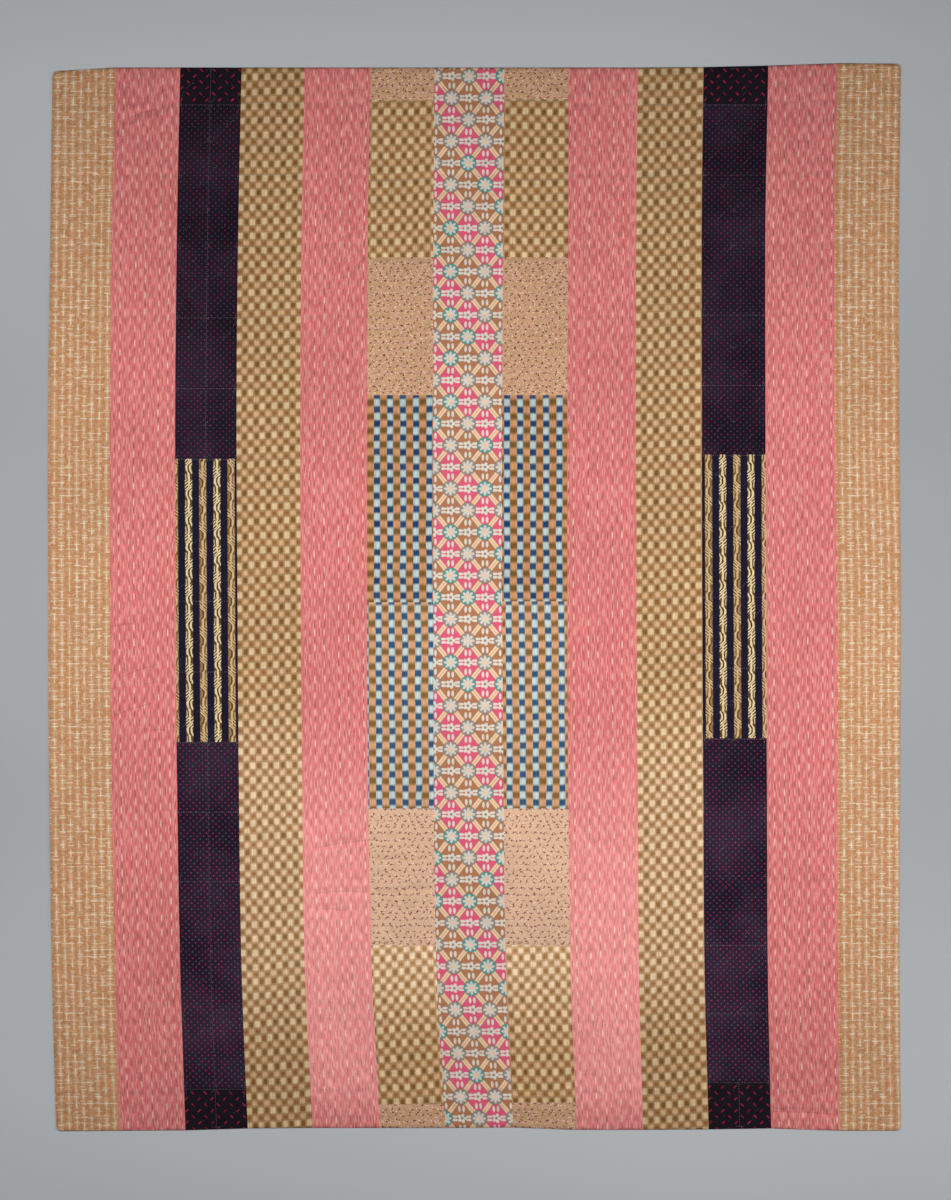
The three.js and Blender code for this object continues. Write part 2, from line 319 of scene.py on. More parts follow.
def quilted_height(piece, across, height):
    """Height of the quilted top: low at the seams and along the stitching, puffed in between."""
    left, right = piece.left_at(height), piece.right_at(height)
    half_width = (right - left) / 2
    from_middle = across - (left + right) / 2
    level = np.clip(height, piece.row_heights[-1], piece.row_heights[0])
    stitch_distance = np.abs(from_middle)
    inside_ring = np.zeros(across.shape, bool)
    for centre, meeting in piece.webs():
        half_length = abs(meeting - centre)
        here = np.abs(level - (centre + meeting) / 2) <= half_length / 2 + 0.1 * MM
        rise = level - centre
        off, up = np.abs(from_middle), np.abs(rise)
        along = (off * half_width + up * half_length) / (half_width ** 2 + half_length ** 2)
        along = np.clip(along, 0, DIAGONALS_END_AT)
        diagonal = np.hypot(off - along * half_width, up - along * half_length)
        reach = np.hypot(off / half_width, up / half_length)
        to_ring = reach - ring_share(np.arctan2(up / half_length, off / half_width))
        ring = np.abs(to_ring) * (half_width + half_length) / 2
        nearest = np.minimum(np.minimum(up, diagonal), ring)
        stitch_distance = np.where(here, np.minimum(stitch_distance, nearest), stitch_distance)
        inside_ring = np.where(here, to_ring < 0, inside_ring)
    if piece.at_bottom:
        hem_line = np.abs(height - (piece.row_heights[-1] + HEM_STITCH_FROM_END))
        stitch_distance = np.minimum(stitch_distance, hem_line)

    puff = np.where(inside_ring, INNER_PUFF_HEIGHT, OUTER_PUFF_HEIGHT)
    for size, seed, rise in SWELLS:
        puff = puff + soft_waves(across, height, size, seed) * rise
    rising = 1 - np.exp(-(stitch_distance / PUFF_REACH) ** PUFF_CURVE)
    surface = STITCH_HEIGHT + (puff - STITCH_HEIGHT) * rising
    surface -= crease_depth(across, height)

    ends = [
        (across - left, piece.at_left_edge),
        (right - across, piece.at_right_edge),
        (piece.head_at(across) - height, piece.at_top),
        (height - piece.foot_at(across), piece.at_bottom),
    ]
    for distance, is_edge in ends:
        distance = np.maximum(distance, 0)
        foot = EDGE_HEIGHT if is_edge else SEAM_HEIGHT
        reach = EDGE_REACH if is_edge else SEAM_REACH
        surface = foot + (surface - foot) * (1 - np.exp(-(distance / reach) ** EDGE_CURVE))
    return surface


def end_line(piece, end):
    """The straight line of a piece's head (end 0) or foot (end -1) as a function of place across."""
    (x0, y0), (x1, y1) = piece.left[end], piece.right[end]
    return lambda across: y0 + (across - x0) * (y1 - y0) / (x1 - x0)


def steps_along(length):
    """Places along a length, close together beside both ends and even in between."""
    inner = length - 2 * SEAM_STEPS[-1]
    count = max(2, round(inner / MESH_STEP))
    middle = SEAM_STEPS[-1] + inner * np.arange(1, count) / count
    start = np.array(SEAM_STEPS)
    return np.concatenate([start, middle, length - start[::-1]])


def round_corner(places, corner, toward):
    """Pulls the points near a square corner in to a round one."""
    a = 1 - np.abs(places[:, 0] - corner[0]) / CORNER_ROUND
    b = 1 - np.abs(places[:, 1] - corner[1]) / CORNER_ROUND
    near = (a > 0) & (b > 0)
    a, b = a[near], b[near]
    centre = np.array(corner) + CORNER_ROUND * np.array(toward)
    places[near, 0] = centre[0] - toward[0] * CORNER_ROUND * a * np.sqrt(1 - b * b / 2)
    places[near, 1] = centre[1] - toward[1] * CORNER_ROUND * b * np.sqrt(1 - a * a / 2)


def sew_piece(node, cloth, cut_from=(0, 0), climb=0.0):
    """One piece of the quilt in place of its CAD node: cut, quilted, closed underneath and declared.
    cut_from says where on its print the cloth was cut, in millimetres, and climb how steeply its
    rows then rise to the right."""
    piece = CutPiece(node)
    piece.head_at, piece.foot_at = end_line(piece, 0), end_line(piece, -1)
    across_steps = steps_along(piece.width()) / piece.width()
    along_steps = steps_along(piece.length()) / piece.length()

    bm = bmesh.new()
    columns, rows = len(across_steps) - 1, len(along_steps) - 1
    bmesh.ops.create_grid(bm, x_segments=columns, y_segments=rows, size=0.5)
    grid = np.array([v.co for v in bm.verts])
    share = across_steps[np.rint((grid[:, 0] + 0.5) * columns).astype(int)]
    down = along_steps[np.rint((0.5 - grid[:, 1]) * rows).astype(int)]
    places = place_on_piece(piece, share, down)
    heights = quilted_height(piece, places[:, 0], places[:, 1])
    for vertex, place, rise in zip(bm.verts, places, heights):
        vertex.co = (place[0], place[1], rise)

    rim = [e for e in bm.edges if e.is_boundary]
    walls = bmesh.ops.extrude_edge_only(bm, edges=rim)["geom"]
    for item in walls:
        if isinstance(item, bmesh.types.BMVert):
            item.co.z = 0
    base = [e for e in walls if isinstance(e, bmesh.types.BMEdge) and e.is_boundary]
    underside = bmesh.ops.triangle_fill(bm, use_beauty=True, edges=base)["geom"]
    bmesh.ops.recalc_face_normals(bm, faces=bm.faces)
    for face in bm.faces:
        face.smooth = True
    for item in underside:
        if isinstance(item, bmesh.types.BMFace):
            item.material_index = 1
    for edge in rim + base:
        edge.smooth = False

    mesh = bpy.data.meshes.new("sewn_" + node)
    bm.to_mesh(mesh)
    bm.free()
    lay_cloth_map(mesh, piece, cut_from, climb)
    mesh.materials.append(cloth)
    mesh.materials.append(backing_cloth)
    sewn = put("sewn_" + node, mesh)
    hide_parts(node)
    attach(sewn, "root")
    sewn_pieces.append(piece)


def place_on_piece(piece, share, down):
    """Places on the quilt of points given by their share across a piece and down it."""
    head = piece.left[0, 1] + (piece.right[0, 1] - piece.left[0, 1]) * share
    foot = piece.left[-1, 1] + (piece.right[-1, 1] - piece.left[-1, 1]) * share
    head = head + (0 if piece.at_top else SEAM_GAP_CLOSED)
    foot = foot - (0 if piece.at_bottom else SEAM_GAP_CLOSED)
    height = head + (foot - head) * down
    left = piece.left_at(height) - (0 if piece.at_left_edge else SEAM_GAP_CLOSED)
    right = piece.right_at(height) + (0 if piece.at_right_edge else SEAM_GAP_CLOSED)
    places = np.stack([left + (right - left) * share, height], axis=1)
    sides = [(piece.at_left_edge, piece.left, 1), (piece.at_right_edge, piece.right, -1)]
    ends = [(piece.at_top, 0, -1), (piece.at_bottom, -1, 1)]
    for at_side, side, inward in sides:
        for at_end, end, downward in ends:
            if at_side and at_end:
                round_corner(places, side[end], (inward, downward))
    return places


def lay_cloth_map(mesh, piece, cut_from, climb):
    """The cloth's own map, in metres: across from the left seam, and up the quilt."""
    places = np.zeros(len(mesh.vertices) * 3, np.float32)
    mesh.vertices.foreach_get("co", places)
    places = places.reshape(-1, 3)
    on_cloth = np.stack([places[:, 0] - piece.left_at(places[:, 1]), places[:, 1]], axis=1)
    on_cloth[:, 1] -= on_cloth[:, 0] * climb
    on_cloth += np.array(cut_from) * MM
    corners = np.zeros(len(mesh.loops), np.int32)
    mesh.loops.foreach_get("vertex_index", corners)
    cloth_map = mesh.uv_layers.new(name="cloth_map")
    cloth_map.data.foreach_set("uv", on_cloth[corners].astype(np.float32).ravel())


def dye(red, green, blue):
    """A colour as the photo shows it, from 0 to 255, as light."""
    shares = [c / 255 for c in (red, green, blue)]
    return tuple(c / 12.92 if c <= 0.04045 else ((c + 0.055) / 1.055) ** 2.4 for c in shares)


class Reading:
    """A number that varies over a cloth, worked out by its material's nodes."""

    def __init__(self, cloth, socket):
        self.cloth = cloth
        self.socket = socket

    def __add__(self, other):
        return self.cloth.maths("ADD", self, other)

    def __sub__(self, other):
        return self.cloth.maths("SUBTRACT", self, other)

    def __rsub__(self, other):
        return self.cloth.maths("SUBTRACT", other, self)

    def __mul__(self, other):
        return self.cloth.maths("MULTIPLY", self, other)

    def __truediv__(self, other):
        return self.cloth.maths("DIVIDE", self, other)

    def __abs__(self):
        return self.cloth.maths("ABSOLUTE", self)

    def floor(self):
        return self.cloth.maths("FLOOR", self)

    def least(self, other):
        return self.cloth.maths("MINIMUM", self, other)

    def most(self, other):
        return self.cloth.maths("MAXIMUM", self, other)

    def rising(self, start, end):
        """0 at start and 1 at end, with a soft slope between them."""
        return self.cloth.ranging(self, start, end, 0, 1)

    def falling(self, start, end):
        """1 at start and 0 at end, with a soft slope between them."""
        return self.cloth.ranging(self, start, end, 1, 0)

    def spread(self, low, high):
        """The reading from 0 to 1 stretched to run from low to high."""
        return self.cloth.ranging(self, 0, 1, low, high, "LINEAR")

    def is_odd(self):
        """1 where a whole number is odd, and 0 where it is even."""
        half = self / 2
        return (half - half.floor()) * 2


YARN_PITCH = 0.9


class Cloth:
    """A printed or woven cotton. Its pattern is drawn in millimetres on the piece's own map."""

    def __init__(self, name):
        self.material = bpy.data.materials.new(name)
        self.material.use_nodes = True
        self.tree = self.material.node_tree
        self.tree.nodes.clear()
        cloth_map = add_node(self.tree, "UVMap", {}, uv_map="cloth_map")
        across, up = self.split(cloth_map.outputs[0])
        self.across, self.up = across * 1000, up * 1000
        self.on_quilt = add_node(self.tree, "TexCoord", {}).outputs["Object"]

    def split(self, place):
        """A place's two numbers as readings."""
        parts = add_node(self.tree, "SeparateXYZ", {0: place}).outputs
        return Reading(self, parts["X"]), Reading(self, parts["Y"])

    def read(self, kind, inputs, **settings):
        """What a new node gives, as a reading."""
        return Reading(self, add_node(self.tree, kind, inputs, **settings).outputs[0])

    def maths(self, operation, *values):
        return self.read("Math", dict(enumerate(values)), operation=operation)

    def ranging(self, *values):
        return Reading(self, ranging(self.tree, *values))

    def point(self, x, y):
        return add_node(self.tree, "CombineXYZ", {"X": x, "Y": y}).outputs[0]

    def mottle(self, size, detail=2.0, across=None, up=None):
        """Random cloudiness from 0 to 1 on the cloth, in patches about size millimetres wide."""
        place = self.point(self.across if across is None else across, self.up if up is None else up)
        inputs = {"Scale": 1 / size, "Detail": detail, "Vector": place}
        return self.read("TexNoise", inputs, noise_dimensions="2D").rising(0.25, 0.75)

    def fading(self, size, detail=3.0):
        """Random cloudiness from 0 to 1 over the whole quilt, in patches about size metres wide."""
        inputs = {"Scale": 1 / size, "Detail": detail, "Vector": self.on_quilt}
        return self.read("TexNoise", inputs).rising(0.3, 0.7)

    def chance(self, column, row):
        """A random number from 0 to 1 for each cell of a repeat."""
        return self.read("TexWhiteNoise", {"Vector": self.point(column, row)}, noise_dimensions="2D")

    def blend(self, share, first, second, **settings):
        """One colour turning into another as share goes from 0 to 1."""
        inputs = {0: share, 6: first, 7: second}
        return add_node(self.tree, "Mix", inputs, data_type="RGBA", **settings).outputs[2]

    def shade(self, colour, brightness):
        """A colour made darker or lighter by a reading around 1."""
        grey = add_node(self.tree, "CombineColor", {0: brightness, 1: brightness, 2: brightness})
        return self.blend(1, colour, grey.outputs[0], blend_type="MULTIPLY")

    def cells(self, pitch_across, pitch_up, stagger=0.0, start=(0, 0), across=None, up=None):
        """A repeat's cells: a point's offset from the middle of its cell, and the cell's numbers."""
        across = (self.across if across is None else across) - start[0]
        up = (self.up if up is None else up) - start[1]
        row = (up / pitch_up).floor()
        if stagger:
            across = across + row.is_odd() * (stagger * pitch_across)
        column = (across / pitch_across).floor()
        offset_across = across - (column + 0.5) * pitch_across
        offset_up = up - (row + 0.5) * pitch_up
        return offset_across, offset_up, column, row

    def distance(self, x, y):
        return self.maths("SQRT", x * x + y * y)

    def uneven_yarn(self):
        return self.mottle(2.6, 1, up=self.up * 0.12).spread(0.84, 1.1)

    def painted_crease_shade(self, creases):
        """1 along the bottom of each crease, where painted shade darkens the cloth, and 0 beside it."""
        x, y = self.split(self.on_quilt)
        lines = self.maths("ADD", 0, 0)
        for start, end, _ in creases:
            along, off, length = crease_run(start, end, x, y)
            share = self.ranging(along, 0, length, 0, 1, "LINEAR")
            off = off - self.maths("SINE", share * math.pi) * CREASE_BOW
            from_middle = abs(along - length / 2)
            shown = from_middle.falling(length / 2 - 12 * MM, length / 2 + 6 * MM)
            lines = lines.most(abs(off).falling(0.6 * MM, 2.6 * MM) * shown)
        return lines

    def finish(self, colour):
        """The plain weave, the small puckers of the quilting, and the cloth's dull surface."""
        weft = self.maths("SINE", self.up * (2 * math.pi / YARN_PITCH))
        warp = self.maths("SINE", self.across * (2 * math.pi / YARN_PITCH))
        weave = weft * warp * 0.012
        pucker = self.mottle(9, 3.0) * 0.5 + self.mottle(3.5) * 0.12
        bump = add_node(self.tree, "Bump", {"Strength": 1, "Distance": MM, "Height": weave + pucker})
        shader = add_node(self.tree, "BsdfPrincipled", {
            "Base Color": colour,
            "Roughness": self.mottle(40).spread(0.86, 0.96),
            "Specular IOR Level": 0.15,
            "Sheen Weight": 0.06,
            "Sheen Roughness": 0.5,
            "Normal": bump.outputs[0],
        })
        add_node(self.tree, "OutputMaterial", {"Surface": shader.outputs[0]})
        return self.material


# Plain undyed cotton for the underside of every piece.
backing = Cloth("backing_cotton")
backing_cloth = backing.finish(backing.blend(backing.mottle(60), dye(219, 206, 180), dye(224, 212, 187)))
sewn_pieces = []
SPRIG_SPACINGS = [(14.5, 13.0), (19.0, 16.5)]


def print_sprigs(name, painted_paleness, creases):
    """Warm tan, scattered with dark red-brown berries, pale buds and short curled stems."""
    cloth = Cloth(name)
    ground = cloth.blend(cloth.mottle(14), dye(199, 151, 117), dye(210, 165, 132))
    olive = cloth.mottle(17, up=cloth.up + 300).rising(0.4, 0.85) * 0.7
    ground = cloth.blend(olive, ground, dye(191, 155, 110))
    # Painted light: the sixth pieced lengths are blended towards a paler tan all over.
    ground = cloth.blend(painted_paleness, ground, dye(238, 198, 168))
    for layer, (pitch_across, pitch_up) in enumerate(SPRIG_SPACINGS):
        x, y, column, row = cloth.cells(pitch_across, pitch_up, 0.5, (3 + 7 * layer, 5 * layer))
        x = x + (cloth.chance(column + 31, row) - 0.5) * (2 + 2 * layer)
        y = y + (cloth.chance(column, row + 31) - 0.5) * (2 + 2 * layer)
        turn = (cloth.chance(column, row + 40 * layer) - 0.5) * 2.4 + 3.1 * layer
        lean_x, lean_y = cloth.maths("COSINE", turn), cloth.maths("SINE", turn)
        along, off = x * lean_x + y * lean_y, y * lean_x - x * lean_y
        curl = off - along * along * 0.1
        stem = abs(curl).falling(0.4, 1.3) * abs(along).falling(3.2, 5.0)
        ground = cloth.blend(stem * 0.7, ground, dye(140, 84, 66))
        echo = abs(curl - 2.2).falling(0.5, 1.5) * abs(along).falling(2.2, 4.4)
        ground = cloth.blend(echo * 0.5, ground, dye(232, 196, 174))
        dark = cloth.chance(column + 9, row + 9).rising(-0.1, 0.5)
        bud = cloth.distance(along + 3.4, off + 1.4).falling(1.0, 2.5)
        ground = cloth.blend(bud * dark * 0.7, ground, dye(246, 214, 196))
        berry = cloth.distance(along - 3.4, off - 0.8).falling(1.2, 2.5)
        ground = cloth.blend(berry * dark * 0.85, ground, dye(118, 26, 28))
    # Painted shade darkens the cloth along the bottom of the creases.
    lightness = cloth.fading(0.22).spread(0.95, 1.05) - cloth.painted_crease_shade(creases) * 0.16
    return cloth.finish(cloth.shade(ground, lightness))


def nodes_with(word):
    return sorted(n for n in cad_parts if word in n)


sprig_print = print_sprigs("sprig_print", 0.0, [])
# The sixth lengths of the pieced strips carry painted light that makes them paler all over.
painted_light_sprig_print = print_sprigs("painted_light_sprig_print", 0.55, CREASES_LEFT_OF_MIDDLE)
for node in nodes_with("sprig_print"):
    cloth = painted_light_sprig_print if "_6_" in node else sprig_print
    sew_piece(node, cloth)

# Brown checks: two whole strips and four short lengths of a yarn-dyed cotton, woven in small
# brown and cream checks. Most of them are cut a little off the straight, so that their rows
# climb to the right, and all of them carry painted light that makes them paler towards the foot.
BROWN_CHECK_ACROSS = 12.7
BROWN_CHECK_UP = 15.2
BROWN_CHECK_PAINTED_FOOT_LIGHT = dye(190, 154, 114)
BROWN_CHECK_CUTS = {
    "check_left": (-10.5, 17, 0.0),
    "check_right": (14.2, 7.5, 0.02),
    "pieced_left": (8, 0, 0.01),
    "pieced_right": (-1, -4, -0.04),
}


def weave_brown_check(name, paler, painted_light_by):
    """The woven cotton; paler lightens it all over, and painted_light_by sets the painted light near the
    foot.
    """
    cloth = Cloth(name)
    off_grain = cloth.up.rising(1000, -1000).spread(-0.03, -0.065)
    level = cloth.up + cloth.across * off_grain + (cloth.mottle(130) - 0.5) * 4
    upright = cloth.across + (cloth.mottle(60, up=cloth.up + 500) - 0.5) * 1.6
    x, y, column, row = cloth.cells(BROWN_CHECK_ACROSS, BROWN_CHECK_UP, across=upright, up=level)
    half_across, half_up = BROWN_CHECK_ACROSS / 2, BROWN_CHECK_UP / 2
    dark_row = row.is_odd()
    side = abs(x).falling(half_across - 3.6, half_across + 1.8)
    end = (abs(y) - dark_row.spread(-0.8, 0.8)).falling(half_up - 4.6, half_up + 1.8)
    cream = cloth.blend(dark_row, dye(212, 172, 130), dye(220, 190, 146))
    brown = cloth.blend(dark_row, dye(144, 102, 54), dye(126, 86, 40))
    brown = cloth.blend(cloth.chance(column, row) * 0.35, brown, dye(150, 98, 54))
    # Painted light: the lower lengths are made paler and less brown towards the foot.
    painted_foot_light = cloth.up.rising(-100, -400) * cloth.up.falling(-750, -980) * painted_light_by
    base = cloth.blend(0.78, cream, dye(142, 102, 58))
    base = cloth.blend(painted_foot_light * 0.28, base, BROWN_CHECK_PAINTED_FOOT_LIGHT)
    brown = cloth.blend(painted_foot_light * 0.14, brown, BROWN_CHECK_PAINTED_FOOT_LIGHT)
    cream = cloth.blend(painted_foot_light * 0.3, cream, dye(240, 214, 186))
    pale = cloth.blend(side * end, base, cream)
    check = cloth.blend(side * end * (column + row).is_odd(), pale, brown)
    # Random fading, plus painted light near the foot.
    lightness = cloth.fading(0.25).spread(0.95, 1.04) + paler + painted_foot_light * 0.14
    return cloth.finish(cloth.shade(check, cloth.uneven_yarn() * lightness))


brown_check = weave_brown_check("brown_check", 0.0, 1.0)
# The pieced lengths: paler all over, and with more painted light near the foot.
paler_brown_check = weave_brown_check("paler_brown_check", 0.12, 1.7)
for node in nodes_with("brown_check") + ["check_left", "check_right"]:
    across, up, climb = BROWN_CHECK_CUTS["_".join(node.split("_")[:2])]
    cloth = paler_brown_check if "pieced" in node else brown_check
    sew_piece(node, cloth, (across, up), climb)

# Blue checks: four lengths of a yarn-dyed cotton with blue and brown columns. The two lower
# lengths have been washed paler than the two above them.
BLUE_CHECK_ACROSS = 27.8
BLUE_CHECK_UP = 30.3
BLUE_COLUMN_START = 12.0
BLUE_COLUMN_WIDTH = 13.4
BLUE_CHECK_CUTS = {
    "pieced_left_4_blue_check": (-1.5, 11),
    "pieced_left_5_pale_blue_check": (-5, -5),
    "pieced_right_4_blue_check": (9, 11),
    "pieced_right_5_pale_blue_check": (5.5, -5),
}


def weave_blue_check(name, blue, white, brown, peach):
    cloth = Cloth(name)
    upright = cloth.across + (cloth.mottle(80) - 0.5) * 2
    level = cloth.up + (cloth.mottle(90, up=cloth.up + 900) - 0.5) * 3
    x, y, column, row = cloth.cells(BLUE_CHECK_ACROSS, BLUE_CHECK_UP, start=(BLUE_COLUMN_START, 0),
                                    across=upright, up=level)
    from_middle = abs(x + (BLUE_CHECK_ACROSS - BLUE_COLUMN_WIDTH) / 2)
    blue_column = from_middle.falling(BLUE_COLUMN_WIDTH / 2 - 1.5, BLUE_COLUMN_WIDTH / 2 + 1.3)
    blue_cell = abs(y).falling(4.0, 10.6)
    brown_cell = (BLUE_CHECK_UP / 2 - abs(y)).falling(2.5, 12.0)
    deep = cloth.blend(cloth.chance(column, row) * 0.35, blue, dye(62, 96, 126))
    whitish = cloth.blend(from_middle.rising(0.5, 6.5) * 0.45, white, dye(132, 160, 172))
    blues = cloth.blend(blue_cell, whitish, deep)
    browns = cloth.blend(brown_cell, peach, brown)
    check = cloth.blend(blue_column, browns, blues)
    lightness = cloth.fading(0.2).spread(0.96, 1.04)
    return cloth.finish(cloth.shade(check, cloth.uneven_yarn() * lightness))


blue_check = weave_blue_check(
    "blue_check", dye(16, 60, 102), dye(192, 206, 204), dye(122, 84, 36), dye(204, 148, 102))
pale_blue_check = weave_blue_check(
    "pale_blue_check", dye(44, 86, 120), dye(206, 217, 212), dye(136, 96, 48), dye(216, 164, 122))
for node, cut_from in BLUE_CHECK_CUTS.items():
    if "pale" in node:
        sew_piece(node, pale_blue_check, cut_from)
    else:
        sew_piece(node, blue_check, cut_from)

# Dash prints: the short lengths at the ends of the dark strips, in near black cotton printed
# with rows of crimson dashes that lean one way and then the other.
DASH_ROW = 12.6
DASH_PITCH = 27.1
DASH_LEAN = (0.72, 0.69)


def print_dashes():
    cloth = Cloth("dash_print")
    x, y, column, row = cloth.cells(DASH_PITCH, DASH_ROW, 0.5, (4, 2))
    lean = row.is_odd() * 2 - 1
    along = x * DASH_LEAN[0] + y * lean * DASH_LEAN[1]
    off = y * DASH_LEAN[0] - x * lean * DASH_LEAN[1]
    dash = abs(along).falling(2.8, 5.0) * abs(off).falling(0.5, 1.9)
    uneven = cloth.chance(column, row).spread(0.45, 0.95)
    small_x, small_y, _, _ = cloth.cells(4.2, 4.2, 0.5)
    speck = cloth.distance(small_x, small_y).falling(0.4, 1.4) * 0.2
    ground = cloth.blend(speck, dye(19, 13, 22), dye(62, 36, 52))
    printed = cloth.blend(dash * uneven, ground, dye(176, 28, 66))
    return cloth.finish(cloth.shade(printed, cloth.fading(0.1).spread(0.85, 1.15)))


dash_print = print_dashes()
for node in nodes_with("dash_print"):
    sew_piece(node, dash_print)

# Pin dots: the four long lengths of the dark strips, in cotton dyed a purplish black and
# printed in staggered rows with small crimson and grey dots. It is greyer in random patches, and
# carries painted light that makes it paler towards the foot.
PIN_DOT_ACROSS = 13.6
PIN_DOT_ROW = 6.45


def print_pin_dots():
    cloth = Cloth("pin_dot")
    # The cloth is greyer in random patches.
    grey_patches = cloth.fading(0.14, 5)
    ground = cloth.blend(grey_patches * 0.6, dye(18, 10, 26), dye(47, 33, 48))
    x, y, column, row = cloth.cells(PIN_DOT_ACROSS, PIN_DOT_ROW, 0.5)
    kind = cloth.chance(column, row)
    dot = cloth.distance(x, y * 0.9).falling(0.7, 2.0) * kind.spread(0.5, 0.85)
    ink = cloth.blend(kind.rising(0.3, 0.6), dye(96, 80, 104), dye(146, 32, 76))
    printed = cloth.blend(dot, ground, ink)
    weft = cloth.mottle(2.4, 1, across=cloth.across * 0.3).spread(0.85, 1.15)
    # Painted light: paler towards the foot.
    painted_foot_light = cloth.up.rising(200, -900) * 0.7
    return cloth.finish(cloth.shade(printed, weft * (grey_patches.spread(0.9, 1.1) + painted_foot_light)))


pin_dot = print_pin_dots()
for node in nodes_with("pin_dot"):
    sew_piece(node, pin_dot)

# Scroll stripes: the middle lengths of the dark strips, in navy cotton printed with cream
# stripes. A ribbon loops down each stripe, on dark brown and on a lighter brown by turns. The
# right hand length is sewn in the other way up.
SCROLL_PERIOD = 30.0
SCROLL_STRIPE_WIDTH = 15.4
SCROLL_REPEAT = 55.6
SCROLL_STEP = 41.7


def print_scroll_stripes(name, turned):
    """The printed cotton; turned is -1 where it is sewn in the other way up, and 1 elsewhere."""
    cloth = Cloth(name)
    across = cloth.across * turned + 18.2
    column = (across / SCROLL_PERIOD).floor()
    x = across - (column + 0.5) * SCROLL_PERIOD
    is_tan = column.is_odd()
    stripe = abs(x).falling(SCROLL_STRIPE_WIDTH / 2 - 0.5, SCROLL_STRIPE_WIDTH / 2 + 0.5)
    x = x * (1 - is_tan * 2) + (cloth.mottle(9) - 0.5) * 1.4
    fallen = 39.9 - column * SCROLL_STEP + is_tan * 9.3 - cloth.up * turned
    fallen = fallen - (fallen / SCROLL_REPEAT).floor() * SCROLL_REPEAT
    from_ribbon = x - 5.5 + fallen.rising(0, 12) * 9.3 - fallen.rising(19, 28) * 4.3
    width = fallen.rising(30, 50).spread(1.0, 0.65)
    ribbon = (abs(from_ribbon) / width).falling(1.8, 2.8)
    in_loop = fallen.rising(3, 6) * fallen.falling(26, 30) * (1 - is_tan * 0.7)
    second = abs(from_ribbon - 7.2).falling(1.6, 2.6) * in_loop
    side_line = abs(x + 5.6).falling(0.5, 1.4) * fallen.rising(28, 30) * fallen.falling(39, 43)
    slant = cloth.maths("SINE", (fallen + x * 0.9) * (2 * math.pi * 8 / SCROLL_REPEAT))
    above = fallen.falling(6, 9) * from_ribbon.falling(-4.2, -2.8)
    hatch = slant.rising(-0.1, 0.4) * fallen.rising(39, 42).most(above)
    cream = ribbon.most(second).most(hatch).most(side_line * 0.8)
    paper = cloth.blend(is_tan, dye(226, 204, 158), dye(206, 176, 130))
    marks = cloth.blend(is_tan, dye(88, 62, 32), dye(120, 86, 46))
    line = abs(from_ribbon - 3.8).falling(1.3, 2.3) * fallen.rising(2, 5) * fallen.falling(24, 27)
    blob = cloth.distance(from_ribbon - 3.2, fallen - 24).falling(2.0, 3.4)
    dark = cloth.blend(is_tan, dye(62, 36, 20), dye(84, 56, 30))
    scroll = cloth.blend(cream, marks, paper)
    scroll = cloth.blend(line.most(blob) * 0.85, scroll, dark)
    navy = cloth.blend(cloth.mottle(4), dye(15, 12, 31), dye(28, 23, 48))
    return cloth.finish(cloth.blend(stripe, navy, scroll))


scroll_stripe = print_scroll_stripes("scroll_stripe", 1)
turned_scroll_stripe = print_scroll_stripes("turned_scroll_stripe", -1)
sew_piece("dark_left_3_scroll_stripe", scroll_stripe, (28.5, 0))
sew_piece("dark_right_3_scroll_stripe", turned_scroll_stripe, (19.4, 34.7))

# Pink strips: four strips of rose cotton printed to look like a slubbed weave, with upright
# pale flecks and dark flecks by turns. Two columns in every five are printed stronger. The two
# inner strips carry painted light that makes them paler, most of all towards the foot.
SLUB_COLUMN = 10.3
SLUB_REPEAT = 33.4
HAIR_COLUMN = 3.1
HAIR_REPEAT = 30


